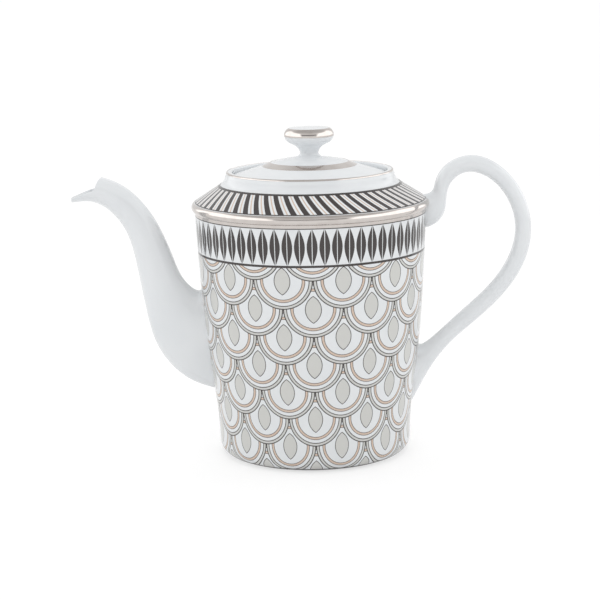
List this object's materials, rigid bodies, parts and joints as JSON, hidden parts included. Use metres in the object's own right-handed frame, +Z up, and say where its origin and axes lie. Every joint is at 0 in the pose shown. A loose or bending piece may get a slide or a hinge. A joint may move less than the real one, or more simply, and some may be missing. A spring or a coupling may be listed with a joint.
{
  "type": "porcelain teapot",
  "caption": "Tall tapered porcelain teapot with a swan-neck spout, a loop handle, platinum bands, a printed wall and a loose inset lid with a knob.",
  "frame": {"origin": "on the pot's axis, on the plane that the foot ring stands on", "axes": "+Z up along the pot's axis, -X towards the spout, +X towards the handle"},
  "size_m": [0.2424, 0.1254, 0.1737],
  "materials": {
    "glaze": "gloss",
    "platinum": "polished",
    "wall_print": "gloss",
    "neck_print": "gloss",
    "shoulder_print": "gloss"
  },
  "bodies": {
    "pot": {"pot_body": "glaze", "pot_shoulder": "glaze", "spout": "glaze", "handle": "glaze", "wall_print": "wall_print", "neck_print": "neck_print", "shoulder_band": "platinum", "shoulder_print": "shoulder_print", "collar_line": "platinum"},
    "lid": {"lid_cover": "glaze", "lid_ring": "platinum", "lid_knob": "glaze", "knob_band": "platinum"}
  },
  "joints": [
    {"name": "lid_lift", "type": "slide", "parent": "pot", "child": "lid", "axis": [0, 0, 1], "range_m": [0, 0.06]}
  ]
}
